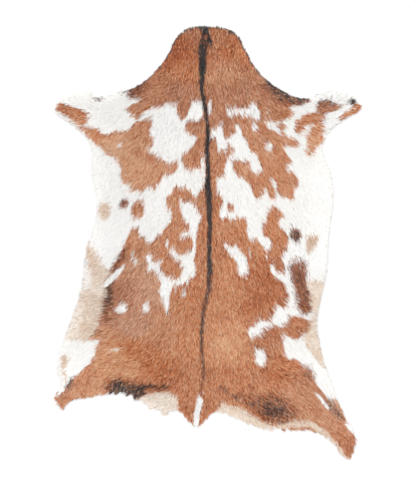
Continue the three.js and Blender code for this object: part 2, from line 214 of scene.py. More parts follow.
# name, coat, tone, share of hairs, outline as x,y pairs; brown without a tone takes that of its ground
patches = [
    ("left fore leg", "white", .66, 1, [-317,290, -297,298, -267,314, -233,322, -193,314, -165,304, -157,296,
        -145,290, -133,286, -145,280, -157,274, -169,267, -157,259, -152,250, -143,246, -146,240, -153,236,
        -157,228, -160,222, -169,221, -187,221, -207,214, -221,224, -235,230, -249,231, -277,246, -305,262]),
    ("left leg rim", "white", .6, 1, [-320,266, -305,268, -281,254, -257,232, -237,210, -221,196, -211,184,
        -238,170, -264,188, -292,220, -322,244]),
    ("left leg strip", "brown", None, 1, [-309,274, -297,280, -277,273, -267,269, -257,268, -249,261,
        -241,256, -245,248, -240,239, -255,238, -249,231, -235,230, -221,224, -207,214, -211,188, -221,194,
        -237,207, -257,229, -281,251, -305,264]),
    ("left shoulder", "white", .6, 1, [-145,242, -140,247, -136,253, -131,262, -123,266, -109,269, -95,271,
        -88,278, -75,276, -70,272, -65,276, -63,260, -53,244, -47,250, -41,256, -38,268, -35,280, -25,283,
        -14,282, -11,270, -11,256, -17,243, -27,241, -37,245, -44,240, -48,231, -45,223, -37,217, -29,216,
        -23,209, -26,199, -34,189, -45,178, -54,171, -54,163, -48,152, -61,142, -61,150, -64,160, -72,161,
        -77,154, -86,159, -95,168, -103,170, -110,176, -118,180, -126,187, -122,192, -115,189, -110,196,
        -112,205, -118,214, -119,226, -113,234, -113,240, -122,248, -134,244]),
    ("left flank", "white", .6, 1, [-61,150, -53,158, -48,152, -42,146, -35,143, -27,147, -17,150, -14,138,
        -14,126, -15,106, -22,93, -26,86, -31,94, -35,102, -45,107, -58,108, -65,112, -70,109, -75,95,
        -83,90, -86,78, -85,72, -78,68, -73,60, -73,48, -77,40, -85,30, -90,22, -97,13, -107,10, -113,0,
        -115,-7, -119,-4, -129,6, -138,12, -142,28, -155,28, -157,22, -165,2, -174,-18, -183,-36, -192,-42,
        -196,-56, -197,-66, -209,-50, -221,-30, -231,-14, -245,0, -268,10, -262,86, -262,166, -237,190,
        -221,188, -211,186, -205,176, -193,172, -181,162, -178,152, -173,144, -177,136, -172,118, -157,117,
        -155,108, -151,102, -141,104, -135,98, -131,104, -117,113, -109,105, -100,114, -97,122, -90,134,
        -85,137, -77,134, -69,140]),
    ("strip beside the stripe", "white", .6, .9, [-16,172, -8,170, -6,146, -7,126, -13,102, -17,116,
        -15,146]),
    ("left middle", "white", .6, 1, [-56,88, -51,83, -45,82, -35,80, -25,70, -19,60, -13,49, -17,42, -20,30,
        -22,22, -25,6, -26,-22, -29,-38, -24,-58, -27,-68, -37,-74, -43,-87, -49,-76, -57,-72, -65,-38,
        -75,-26, -81,-18, -75,-12, -62,2, -54,18, -39,24, -38,42, -41,36, -49,42, -53,54, -57,70, -59,79]),
    ("left middle island", "brown", None, 1, [-76,-2, -71,8, -57,6, -45,10, -33,8, -30,-6, -35,-18, -49,-24,
        -61,-24, -69,-14]),
    ("small left drop", "white", .6, 1, [-87,4, -80,6, -81,-12, -86,-10]),
    ("left lower", "white", .6, 1, [-128,-26, -117,-23, -109,-40, -91,-36, -97,-48, -97,-54, -85,-69,
        -65,-74, -49,-72, -43,-80, -57,-86, -73,-88, -77,-106, -80,-130, -82,-154, -89,-126, -100,-98,
        -95,-84, -97,-76, -111,-54, -121,-62, -123,-46]),
    ("left lower island", "brown", None, 1, [-97,-54, -97,-46, -91,-36, -77,-32, -63,-38, -55,-48, -51,-58,
        -57,-68, -65,-74, -85,-69]),
    ("left belly", "cream", .6, 1, [-268,6, -245,0, -231,-14, -221,-30, -209,-50, -199,-66, -209,-82,
        -207,-98, -211,-118, -215,-138, -221,-164, -233,-184, -241,-198, -265,-198, -300,-190, -290,-114,
        -275,-44]),
    ("left belly low", "cream", .36, .8, [-283,-102, -209,-102, -211,-118, -215,-138, -221,-164, -233,-184,
        -241,-198, -265,-198, -300,-190, -290,-130]),
    ("left belly tan", "cream", .3, .8, [-256,4, -246,2, -238,-14, -226,-30, -222,-60, -230,-84, -238,-60,
        -244,-40, -256,-20]),
    ("left belly rim", "white", .5, .75, [-252,-30, -242,-32, -238,-60, -240,-92, -252,-96]),
    ("dark seam above the left belly", "brown", .14, .9, [-199,-62, -190,-70, -190,-96, -194,-128, -202,-158,
        -214,-162, -212,-130, -208,-100, -206,-80]),
    ("dark hairs above the left belly", "dark", .35, .55, [-199,-66, -193,-74, -193,-98, -197,-128,
        -206,-142, -210,-120, -206,-86]),
    ("dark seam under the left flank", "brown", .1, .9, [-166,-4, -160,-10, -168,-34, -178,-50, -192,-60,
        -197,-58, -188,-42, -178,-26]),
    ("left belly tan streak", "cream", .38, .85, [-238,-14, -226,-30, -216,-50, -206,-70, -208,-96, -216,-90,
        -224,-64, -232,-44]),
    ("left belly white streak", "white", .6, .25, [-275,-120, -252,-116, -232,-112, -236,-126, -262,-132,
        -282,-136]),
    ("left belly pale rim", "cream", .9, .6, [-300,-190, -262,-192, -256,-160, -252,-130, -262,-120,
        -290,-130]),
    ("left belly stroke", "white", .6, 1, [-166,-44, -170,-54, -191,-78, -208,-92, -214,-88, -199,-68,
        -184,-54]),
    ("left haunch", "white", .6, 1, [-292,-190, -267,-194, -247,-196, -233,-194, -218,-194, -223,-200,
        -226,-208, -227,-220, -231,-230, -237,-242, -249,-250, -259,-262, -273,-272, -283,-284, -289,-298,
        -301,-306, -322,-290, -318,-234, -306,-198]),
    ("left haunch edge", "dark", .5, .8, [-273,-272, -271,-282, -281,-298, -286,-294, -283,-282]),
    ("left rump ground", "brown", .2, .6, [-214,-284, -196,-270, -166,-270, -133,-280, -105,-282, -80,-286,
        -84,-294, -110,-296, -128,-302, -145,-308, -165,-312, -190,-312, -206,-304]),
    ("left rump", "dark", .3, .77, [-204,-288, -196,-280, -184,-275, -172,-277, -160,-281, -146,-286,
        -134,-292, -124,-298, -134,-307, -145,-320, -165,-316, -181,-314, -198,-304]),
    ("left rump rim", "cream", .67, 1, [-141,-312, -130,-305, -118,-301, -100,-299, -84,-301, -70,-306,
        -61,-316, -61,-345, -97,-362, -140,-345, -155,-322]),
    ("tail", "white", .6, 1, [-22,-304, -11,-304, -11,-318, -16,-336, -18,-352, -21,-380, -29,-376, -30,-352,
        -28,-334, -24,-318]),
    ("left neck foot", "brown", .16, .85, [-166,304, -151,312, -128,322, -118,312, -130,298, -146,288,
        -158,288, -165,296]),
    ("dark hairs on the left neck foot", "dark", .55, .35, [-165,304, -151,310, -135,316, -131,306, -141,297,
        -155,292, -164,298]),
    ("sliver right of the stripe", "white", .6, .9, [-1,282, 7,282, 6,266, 2,248, -1,262]),
    ("right shoulder", "white", .6, 1, [36,269, 49,267, 68,269, 78,267, 85,275, 91,280, 97,273, 103,262,
        104,250, 99,243, 90,247, 78,250, 61,253, 53,256, 46,251, 38,250]),
    ("drop under the right shoulder", "white", .6, .95, [86,233, 92,239, 98,236, 100,225, 94,219, 86,225]),
    ("right middle", "white", .6, 1, [28,237, 29,220, 32,209, 44,209, 47,215, 56,221, 54,229, 53,237, 64,232,
        67,221, 71,210, 78,204, 81,192, 85,180, 96,178, 101,166, 105,152, 110,143, 97,136, 83,146, 85,155,
        78,164, 73,158, 65,163, 56,164, 50,162, 48,149, 54,140, 60,130, 70,130, 79,121, 86,111, 90,96, 97,86,
        106,90, 110,98, 115,111, 120,97, 122,88, 132,86, 136,68, 131,71, 121,63, 116,47, 112,34, 108,24,
        110,14, 121,9, 128,0, 127,-10, 117,-19, 107,-8, 100,4, 93,5, 85,1, 81,5, 77,19, 77,40, 75,48, 66,48,
        58,50, 54,44, 47,43, 38,49, 32,51, 29,42, 21,54, 23,67, 29,78, 28,86, 21,97, 15,91, 16,114, 15,129,
        27,130, 32,134, 34,154, 35,166, 44,171, 50,181, 54,184, 47,192, 40,196, 38,181, 27,181, 18,182,
        17,201, 13,208, 6,210, 2,206, 3,216, 7,225, 13,228]),
    ("right middle island", "brown", None, 1, [38,76, 49,74, 52,60, 45,66, 39,58]),
    ("right fore leg and flank", "white", .6, 1, [199,306, 200,283, 179,276, 162,270, 171,262, 166,252,
        155,245, 141,241, 117,243, 114,236, 123,225, 133,223, 146,212, 149,214, 141,223, 151,221, 160,210,
        168,206, 178,208, 181,197, 172,189, 157,194, 150,190, 157,175, 168,162, 164,156, 157,154, 155,146,
        162,139, 170,142, 177,130, 182,117, 175,114, 171,100, 173,91, 162,84, 155,93, 148,88, 138,104,
        137,118, 127,130, 125,126, 127,114, 137,100, 133,88, 132,86, 136,68, 144,63, 152,51, 144,47, 139,39,
        144,28, 153,21, 160,9, 159,-3, 158,-10, 149,-26, 147,-33, 152,-46, 155,-58, 150,-60, 142,-63,
        135,-59, 132,-46, 123,-44, 126,-59, 132,-69, 142,-75, 150,-79, 155,-92, 161,-102, 160,-110, 158,-120,
        159,-125, 151,-132, 137,-124, 133,-137, 130,-146, 126,-155, 110,-156, 104,-153, 99,-158, 93,-165,
        84,-169, 78,-181, 86,-195, 91,-188, 107,-186, 109,-179, 113,-174, 126,-171, 130,-163, 140,-169,
        155,-167, 159,-160, 164,-149, 173,-147, 186,-148, 193,-153, 206,-156, 219,-148, 250,-114, 260,-4,
        270,86, 262,150, 262,186, 280,230, 330,270, 320,296, 258,328, 207,316]),
    ("right shoulder island", "brown", None, .85, [139,232, 144,239, 152,239, 156,232, 151,225, 143,225]),
    ("right leg", "brown", None, 1, [196,257, 178,243, 177,231, 173,218, 183,215, 192,224, 193,231, 200,236,
        212,238, 203,217, 196,209, 202,192, 197,183, 196,174, 203,174, 214,184, 223,195, 232,206, 234,212,
        224,215, 233,224, 232,231, 228,238, 233,247, 234,259, 258,265, 271,275, 254,278, 239,287, 223,283,
        217,272, 219,261, 208,259]),
    ("dark hairs on the right leg", "dark", .5, .45, [217,280, 229,286, 239,290, 251,282, 262,278, 254,274,
        240,276, 226,276]),
    ("right leg tip", "brown", None, 1, [286,280, 301,282, 318,286, 322,262, 295,246, 272,240, 262,249,
        275,262, 291,268, 291,274]),
    ("right neck foot", "brown", .16, .7, [112,322, 133,312, 151,304, 175,298, 202,292, 204,284, 190,276,
        165,275, 143,277, 124,288, 110,304]),
    ("dark hairs on the right neck foot", "dark", .36, .58, [112,328, 135,320, 160,308, 185,300, 204,290,
        198,283, 188,280, 176,278, 162,278, 150,283, 139,291, 126,304, 116,314]),
    ("right diagonal", "white", .6, 1, [32,2, 37,-4, 47,-10, 55,-5, 64,-18, 71,-24, 77,-30, 79,-42, 80,-60,
        77,-70, 69,-66, 62,-67, 59,-61, 57,-46, 54,-36, 40,-22, 31,-10]),
    ("right spur", "white", .6, .9, [80,-12, 84,-18, 86,-36, 82,-26]),
    ("right thin streak", "white", .6, .8, [113,-21, 118,-26, 119,-36, 115,-30]),
    ("right tan patch", "cream", .1, .9, [197,10, 209,13, 222,10, 217,-2, 207,-16, 200,-26, 196,-10]),
    ("right dark ground", "brown", .24, 1, [169,-34, 175,-42, 179,-34, 184,-40, 190,-33, 197,-47, 196,-64,
        196,-80, 201,-90, 206,-100, 209,-114, 205,-124, 207,-138, 198,-142, 187,-143, 179,-130, 179,-116,
        174,-103, 174,-91, 168,-81, 165,-65, 161,-50]),
    ("right dark patch", "dark", .5, .35, [172,-37, 175,-46, 179,-38, 183,-44, 188,-37, 193,-47, 192,-64,
        192,-81, 197,-91, 202,-101, 205,-114, 201,-124, 204,-137, 198,-139, 189,-140, 182,-129, 182,-116,
        178,-103, 178,-91, 172,-81, 169,-65, 165,-52]),
    ("right belly", "cream", .5, 1, [195,-79, 213,-76, 242,-82, 250,-114, 246,-150, 248,-204, 252,-256,
        239,-256, 228,-250, 213,-230, 203,-218, 194,-194, 199,-174, 206,-156, 215,-146, 207,-130, 205,-114,
        202,-100]),
    ("right lower patch", "brown", None, 1, [173,-147, 186,-149, 194,-153, 204,-158, 195,-162, 200,-169,
        193,-176, 184,-181, 178,-189, 172,-193, 163,-188, 152,-181]),
    ("right square", "white", .6, 1, [94,-214, 104,-213, 114,-216, 116,-232, 113,-246, 104,-247, 95,-244,
        93,-230]),
    ("right haunch", "white", .6, 1, [154,-183, 163,-188, 172,-193, 181,-190, 187,-183, 195,-180, 193,-194,
        203,-218, 213,-230, 228,-250, 243,-256, 262,-284, 275,-310, 288,-338, 300,-376, 281,-367, 265,-344,
        249,-324, 235,-307, 227,-296, 215,-282, 209,-258, 198,-243, 191,-253, 184,-238, 175,-232, 161,-234,
        155,-226, 148,-196]),
    ("right leg white end", "white", .6, 1, [264,-350, 276,-346, 292,-362, 302,-382, 292,-386, 279,-374]),
    ("right haunch edge", "dark", .5, .7, [235,-312, 251,-326, 269,-352, 261,-352, 243,-332]),
    ("right rump ground", "brown", .22, .7, [60,-306, 90,-302, 130,-300, 160,-312, 182,-334, 176,-362,
        146,-366, 112,-358, 84,-338]),
    ("right rump", "dark", .4, .44, [83,-320, 107,-312, 133,-310, 155,-320, 169,-338, 163,-356, 143,-360,
        119,-352, 99,-338]),
    ("right rump rim", "cream", .54, 1, [27,-320, 47,-326, 73,-336, 95,-350, 115,-362, 150,-370, 150,-392,
        83,-402, 33,-386, 10,-350]),
]

# name, coat, tone, share, x, y, half width, half height
spots = [
    ("grey spot on the left leg", "dark", .75, .6, -222,288, 8, 5),
    ("white fleck", "white", .5, .9, -179,192, 4, 6),
    ("left oval", "white", .6, .95, -175,-132, 12, 10),
    ("left oval low", "white", .6, .95, -125,-131, 8, 11),
    ("grey fleck", "white", .2, .8, -154,-29, 3, 9),
    ("grey fleck low", "white", .2, .8, -148,-39, 5, 9),
    ("grey speck", "white", .2, .8, -67,-97, 2.5, 3.5),
    ("grey speck low", "white", .2, .7, -50,-102, 5, 8),
    ("cream wave", "cream", .6, .8, -189,-214, 12, 3.5),
    ("left dark spot", "brown", .4, 1, -169,77, 8, 9),
    ("left dark spot edge", "dark", .5, .5, -173,80, 5, 7),
    ("left brown spot", "brown", None, 1, -142,65, 13, 17),
    ("left tan oval", "cream", .38, .95, -209,63, 12, 17),
    ("left hip dark", "dark", .6, .5, -227,-182, 6, 8),
    ("left haunch tan", "cream", .1, .7, -289,-238, 7, 14),
    ("cream dot", "cream", .6, .6, 119,261, 4, 5),
    ("leg tip dark", "dark", .3, 1, 294,283, 13, 6.5),
    ("right streak", "white", .6, 1, 121,191, 7, 10),
    ("right flank spot", "brown", .1, 1, 175,14, 11, 13),
    ("right flank spot dark", "dark", .45, .6, 175,13, 9, 10),
    ("right haunch dark", "dark", .7, .25, 205,-264, 10, 20),
    ("right rump core", "dark", .3, .6, 134,-338, 26, 14),
    ("left rump core", "dark", .2, .65, -156,-290, 28, 9),
]

# name, coat, tone, share, width, line
strokes = [
    ("neck branch", "dark", .05, 1, 9, [(-8,432), (-3,418), (1,407), (6,396)]),
    ("left rump line", "dark", .15, .9, 5, [(-142,-290), (-117,-286), (-100,-289), (-83,-289)]),
    ("left haunch line", "cream", .1, .7, 4, [(-293,-254), (-289,-268), (-285,-280)]),
    ("right belly rim", "white", .5, .8, 8, [(236,-60), (238,-84), (236,-104)]),
    ("right haunch streak", "white", .6, .9, 7, [(219,-305), (229,-318), (239,-330)]),
    ("right haunch brown edge", "brown", None, .85, 13, [(253,-320), (263,-338), (273,-354)]),
    ("right haunch dark hairs", "dark", .4, .5, 7, [(246,-316), (256,-334), (267,-352)]),
    ("line to the right rump", "dark", .4, .55, 6, [(25,-288), (59,-312), (87,-326)]),
    ("right rump fringe", "cream", .4, .95, 12, [(143,-368), (172,-364), (203,-362)]),
    ("right leg back edge", "cream", .4, .9, 11, [(205,-362), (236,-384), (256,-408), (272,-430)]),
]

# bands along the rim: name, coat, tone, share, width, x from and to, y from and to
rims = [
    # the three neck bands are painted shade: a dark line of hair along the neck's cut edge, where it falls
    # into shade
    ("neck top", "dark", .2, 1, 5.2, -58, 70, 404, 440),
    ("neck left side", "dark", .45, .65, 3.4, -175, -50, 298, 424),
    ("neck right side", "dark", .45, .65, 3.4, 60, 130, 296, 424),
    ("right neck foot", "dark", .22, .9, 4.5, 120, 196, 282, 330),
    # the two belly bands are painted shadow: a grey line of white hair along the rim, for the thin shadow at
    # the hide's edge
    ("left belly", "white", .1, .5, 2.5, -330, -200, -196, 10),
    ("right belly", "white", .1, .5, 2.5, 200, 330, -256, -60),
]

# the dark line down the back: y, middle, width, share of dark hairs
backStripe = [
    (438, -9, 19, 1), (427, -8.5, 16, 1), (420, -8, 12, .8), (415, -8, 12, .4), (411, -9, 13, .45),
    (404, -9.5, 15, .65), (394, -11, 16, .8), (383, -12, 16, .8), (372, -12, 13.5, .8), (360, -12, 13, .9),
    (346, -12.3, 13, .95), (336, -13, 12, .92), (326, -14, 9.5, .92), (312, -14, 6.5, .9),
    (298, -13.5, 7, .95), (286, -9.5, 7, .95), (276, -8, 7, .95), (256, -4, 7, .95), (235, -2, 6, .95),
    (204, -2, 8, .95), (184, -4, 7.5, .95), (166, -2, 7, .95), (138, -.5, 8, .95), (114, -1, 11, .95),
    (92, 0, 12, .95), (68, 2, 11, .95), (52, 3, 9, .95), (28, 4, 8, .95), (6, 1, 7.5, .95),
    (-14, 1.5, 7, .95), (-34, 1.5, 9, .95), (-54, 3.5, 10, .95), (-74, 1.5, 10, .85), (-90, 1.5, 9, .8),
    (-102, -.5, 8, .75), (-114, -4, 7, .7), (-126, -8, 6.5, .7), (-138, -10.5, 6.5, .7),
    (-154, -10, 6.5, .7), (-174, -12.5, 6.5, .7), (-194, -14, 6.5, .65), (-214, -14, 6.5, .6),
    (-234, -12, 6, .6), (-254, -11, 6, .55), (-274, -11, 5.5, .45), (-294, -15, 5, .3), (-310, -15, 4, 0),
]

pattern = {
    "darkHaze": 3.4,            # mm that hairs stray over the edge of a patch, by its colour
    "creamHaze": 1.8,
    "plainHaze": 0.7,
    "stripeWiden": 1.14,
    "stripeGround": 0.3,        # tone of the brown hairs inside the line down the back
    "stripeToneAt": (-150, -20, 120, 330),
    "stripeTone": (.5, .34, .16, .06),
    "strokeReach": 90,          # mm, more than the length of any stroke
}
kinds = {"brown": 0, "white": 1, "dark": 2, "cream": 3}
stripeRows = np.array(backStripe)[::-1]


def insideOutline(outline, x, y):
    pts = np.array(outline, float).reshape(-1, 2)
    found = np.zeros(x.size, bool)
    (left, low), (right, high) = pts.min(0), pts.max(0)
    near = np.nonzero((x > left) & (x < right) & (y > low) & (y < high))[0]
    px, py = x[near], y[near]
    odd = np.zeros(near.size, bool)
    for (ax, ay), (bx, by) in zip(pts, np.roll(pts, -1, axis=0)):
        if ay != by:
            crosses = (ay > py) != (by > py)
            odd ^= crosses & (px < (bx - ax) * (py - ay) / (by - ay) + ax)
    found[near] = odd
    return found


def awayFromLine(line, x, y):
    best = np.full(x.size, 1e9)
    for (ax, ay), (bx, by) in zip(line, line[1:]):
        dx, dy = bx - ax, by - ay
        t = np.clip(((x - ax) * dx + (y - ay) * dy) / (dx * dx + dy * dy), 0, 1)
        best = np.minimum(best, np.hypot(x - ax - t * dx, y - ay - t * dy))
    return best


def hazeOf(kind, tone):
    if kind == "dark" or (kind == "brown" and tone is not None):
        return pattern["darkHaze"]
    return pattern["creamHaze"] if kind == "cream" else pattern["plainHaze"]


def coatAt(x, y, luck):
    # which coat each hair belongs to, with its base tone and warmth
    dice = np.random.default_rng(5)
    hazeX, hazeY = dice.normal(0, 1, x.size), dice.normal(0, 1, x.size)
    tone, warmth = blendAnchors(np.array(brownGround, float), x, y)
    ground = tone.copy()
    coat = np.zeros(x.size, int)

    def paint(where, name, patchTone, share):
        chosen = where & (luck < share)
        coat[chosen] = kinds[name]
        tone[chosen] = ground[chosen] if patchTone is None else patchTone

    for _, kind, patchTone, share, outline in patches:
        amount = hazeOf(kind, patchTone)
        paint(insideOutline(outline, x + hazeX * amount, y + hazeY * amount), kind, patchTone, share)
    for _, kind, patchTone, share, spotX, spotY, halfWide, halfHigh in spots:
        amount = min(hazeOf(kind, patchTone), halfWide * .16)
        far = ((x + hazeX * amount - spotX) / halfWide) ** 2 + ((y + hazeY * amount - spotY) / halfHigh) ** 2
        paint(far < 1, kind, patchTone, share)
    for _, kind, patchTone, share, width, line in strokes:
        near = np.maximum(np.abs(x - line[0][0]), np.abs(y - line[0][1])) < pattern["strokeReach"]
        hit = np.zeros(x.size, bool)
        hit[near] = awayFromLine(line, x[near], y[near]) < width / 2
        paint(hit, kind, patchTone, share)
    for _, kind, patchTone, share, width, fromX, toX, fromY, toY in rims:
        near = np.nonzero((x > fromX) & (x < toX) & (y > fromY) & (y < toY))[0]
        hit = np.zeros(x.size, bool)
        hit[near] = sample(depth, x[near] + hazeX[near], y[near] + hazeY[near]) < width
        paint(hit, kind, patchTone, share)
    middle, width, share = [np.interp(y, stripeRows[:, 0], stripeRows[:, k]) for k in (1, 2, 3)]
    middle = middle + wave(y, y * 0, 23, 17) * .9
    width = width * pattern["stripeWiden"] + wave(y, y * 0, 15, 18)
    across = np.abs(x + hazeX * .8 - middle) / (width / 2)
    onStripe = (across < 1) & (share > .02)
    chosen = onStripe & (luck < share * (1.05 - .3 * across ** 3))
    coat[onStripe] = kinds["brown"]
    tone[onStripe] = pattern["stripeGround"]
    coat[chosen] = kinds["dark"]
    tone[chosen] = np.interp(y, pattern["stripeToneAt"], pattern["stripeTone"])[chosen]
    return coat, tone, warmth


# combing the hair
hair = {
    "lockSpacing": 2.7,         # mm between locks
    "hairsInLock": 5,
    "hairWidth": 0.66,
    "length": (8.5, 14.0),      # near the rim and over the back
    "lengthFrom": 60.0,         # mm from the rim at which it is full
    "lengthSpread": 0.16,
    "leanSpread": 8.0,          # degrees, lock to lock
    "leanWaves": ((90, 3, 6), (34, 4, 5)),      # size in mm, seed, degrees
    "rimShorter": 0.4,          # where the hair lies inwards from the rim, as at the top of the neck
    "gather": 0.65,             # how far a lock's tips draw together
    "toothLength": 2.8,         # mm that a patch's edge is drawn out along the hair
    "guardHairs": 46000,        # short single hairs on top, which give the coat its fine flecks
    "guardLength": (7.0, 11.5),
    "guardWidth": 0.8,
    "underSpacing": 3.2,
    "underWidth": 3.4,
    "proud": (-.8, 2.1),        # mm that tips may pass the rim, mean and spread
    "wisps": 0.07,              # share of hairs left longer, by these mm
    "wispProud": (1, 4.5),
    "neckCut": (290, 150),      # above this y and within this x the rim is a clean cut
    "neckProud": (-.3, .8),
    "skinInset": (3.0, 6.5),    # mm of skin held back from the rim, across and along the hair's lie
    "skinThickness": 1.6,
}


def skinTopAt(x, y):
    # the skin is thinner towards the rim, so the hair still covers it there
    low = sample(lowHeight, x, y)
    return low + np.minimum(hair["skinThickness"], .42 * (sample(topHeight, x, y) - low))


def rootAndRun(h):
    # where each hair starts, and how far it runs from there
    return h["rootX"], h["rootY"], h["tipX"] - h["rootX"], h["tipY"] - h["rootY"]


def outwardness(x, y, lean):
    # 1 where the hair points straight out over the rim, -1 where it points straight in
    gx, gy = sample(slopeX, x, y), sample(slopeY, x, y)
    return -(gx * np.sin(lean) - gy * np.cos(lean)) / (np.hypot(gx, gy) + 1e-6)


def skinEdge(x, y):
    # above 0 on the skin, 0 at its cut edge
    out = np.clip(outwardness(x, y, hairLean(x, y)), 0, 1)
    small, large = hair["skinInset"]
    return sample(depth, x, y) - (small + (large - small) * out)


def scatter(spacing, seed):
    # one place in each cell of an even lattice, kept where it is on the skin
    dice = np.random.default_rng(seed)
    rows = np.arange(-444, 444, spacing)
    x, y = np.meshgrid(np.arange(-318, 318, spacing), rows)
    x = x + (np.arange(rows.size) % 2)[:, None] * spacing / 2
    x = (x + dice.uniform(-.48, .48, x.shape) * spacing).ravel()
    y = (y + dice.uniform(-.48, .48, y.shape) * spacing).ravel()
    out = np.clip(outwardness(x, y, hairLean(x, y)), 0, 1)
    keep = sample(depth, x, y) > .6 + 4 * out
    return x[keep], y[keep]


def wavyLean(x, y):
    turn = sum(wave(x, y, size, seed) * degrees for size, seed, degrees in hair["leanWaves"])
    return hairLean(x, y) + np.radians(turn)


def lengthAt(x, y):
    near, far = hair["length"]
    return near + (far - near) * np.clip(sample(depth, x, y) / hair["lengthFrom"], 0, 1)


def layHairs(x, y, lean, length, width, **own):
    # high: where in the coat's thickness a hair lies, below 0 for the under hair
    return dict(rootX=x, rootY=y, tipX=x + np.sin(lean) * length, tipY=y - np.cos(lean) * length,
                width=np.full(x.size, width), **own)


def combHair():
    lockX, lockY = scatter(hair["lockSpacing"], 11)
    locks = lockX.size
    lean = wavyLean(lockX, lockY)
    lean += np.radians(chance.normal(0, hair["leanSpread"], locks))
    length = lengthAt(lockX, lockY) * np.exp(chance.normal(0, hair["lengthSpread"], locks))
    nearRim = np.exp(-np.maximum(sample(depth, lockX, lockY), 0) / 5)
    length *= 1 - hair["rimShorter"] * nearRim * np.clip(-outwardness(lockX, lockY, lean), 0, 1)
    tone = chance.normal(0, 1, locks)
    tip = chance.normal(0, 1, locks)
    tooth = chance.normal(0, hair["toothLength"], locks)
    luck = chance.uniform(0, 1, locks)
    high = chance.uniform(0, 1, locks)
    which = np.repeat(np.arange(locks), hair["hairsInLock"])
    count = which.size
    spin = chance.uniform(0, 2 * math.pi, count)
    reach = hair["lockSpacing"] * .75 * np.sqrt(chance.uniform(0, 1, count))
    offX, offY = np.cos(spin) * reach, np.sin(spin) * reach
    ownLean = lean[which] + np.radians(chance.normal(0, 3.5, count))
    ownLength = length[which] * chance.uniform(.78, 1.12, count)
    draw = hair["gather"] * chance.uniform(.4, 1.3, count)
    ownLuck = luck[which] * .45 + chance.uniform(0, 1, count) * .55
    laid = layHairs(lockX[which] + offX, lockY[which] + offY, ownLean, ownLength, hair["hairWidth"],
                    lockTone=tone[which], lockTip=tip[which], tooth=tooth[which], luck=ownLuck,
                    high=high[which], guard=np.zeros(count))
    laid["tipX"] -= offX * draw
    laid["tipY"] -= offY * draw
    return laid


def layGuardHairs():
    onSkin = .63                # share of the places in the box that are on the hide
    x = chance.uniform(-318, 318, int(hair["guardHairs"] / onSkin))
    y = chance.uniform(-444, 444, x.size)
    keep = sample(depth, x, y) > 2
    x, y = x[keep], y[keep]
    count = x.size
    lean = wavyLean(x, y) + np.radians(chance.normal(0, 9, count))
    return layHairs(x, y, lean, chance.uniform(*hair["guardLength"], count), hair["guardWidth"],
                    lockTone=chance.normal(0, 1, count), lockTip=chance.normal(0, 1, count),
                    tooth=np.zeros(count), luck=chance.uniform(0, 1, count),
                    high=chance.uniform(1.1, 1.5, count), guard=np.ones(count))


def layUnderHair():
    x, y = scatter(hair["underSpacing"], 12)
    count = x.size
    lean = hairLean(x, y) + np.radians(chance.normal(0, 6, count))
    return layHairs(x, y, lean, lengthAt(x, y), hair["underWidth"],
                    lockTone=chance.normal(0, .6, count), lockTip=np.zeros(count),
                    tooth=chance.normal(0, 2, count), luck=chance.uniform(0, 1, count),
                    high=np.full(count, -1.0), guard=np.zeros(count))


def holdAtRim(h, shorter):
    # a hair that would run far past the rim is cut shorter, with a few wisps left proud
    x, y, dx, dy = rootAndRun(h)
    proud = chance.normal(*hair["proud"], dx.size)
    wisp = chance.uniform(0, 1, dx.size) < hair["wisps"]
    proud[wisp] += chance.uniform(*hair["wispProud"], int(wisp.sum()))
    above, within = hair["neckCut"]
    neat = (y > above) & (np.abs(x) < within)
    proud[neat] = chance.normal(*hair["neckProud"], int(neat.sum()))
    proud -= shorter
    scale = np.ones(dx.size)
    for _ in range(14):
        tipX, tipY = x + dx * scale, y + dy * scale
        over = -(sample(depth, tipX, tipY) * .35 + sample(rimSoft, tipX, tipY) * .65) > proud
        scale[over] *= .93
    h["tipX"], h["tipY"] = x + dx * scale, y + dy * scale
    keep = scale > .42
    return {key: value[keep] for key, value in h.items()}


def ribbons(h):
    # five points for each hair: two at the root, two at its middle, one at the tip
    x, y, dx, dy = rootAndRun(h)
    count = x.size
    length = np.hypot(dx, dy)
    ux, uy = dx / length, dy / length
    under = h["high"] < 0
    bow = np.where(under, 0, chance.normal(0, .035, count)) * length
    midX = x + dx * .52 + uy * bow
    midY = y + dy * .52 - ux * bow
    skinTop = skinTopAt(x, y)
    topMid, topTip = sample(topHeight, midX, midY), sample(topHeight, h["tipX"], h["tipY"])
    lift = np.where(under, .3, .80 + .2 * h["high"])
    loose = np.where(under, chance.uniform(-.3, .3, count), chance.uniform(-.9, .25, count))
    loose *= np.clip((topTip - skinTop) / 4, .3, 1)
    midZ = skinTop + (topMid - skinTop) * lift * np.where(under, .9, .82) + loose * .5
    tipZ = skinTop + (topTip - skinTop) * lift + loose
    roll = np.radians(chance.normal(0, 20, count))
    roll[under] *= .2
    cross = np.stack([uy * np.cos(roll), -ux * np.cos(roll), np.sin(roll)], axis=1)
    half = cross * (h["width"] * chance.uniform(.75, 1.25, count) / 2)[:, None]
    root = np.stack([x, y, skinTop - .25], axis=1)
    middle = np.stack([midX, midY, np.maximum(midZ, .5)], axis=1)
    tip = np.stack([h["tipX"], h["tipY"], np.maximum(tipZ, .4)], axis=1)
    return np.stack([root - half, root + half, middle - half * .92, middle + half * .92, tip], axis=1)


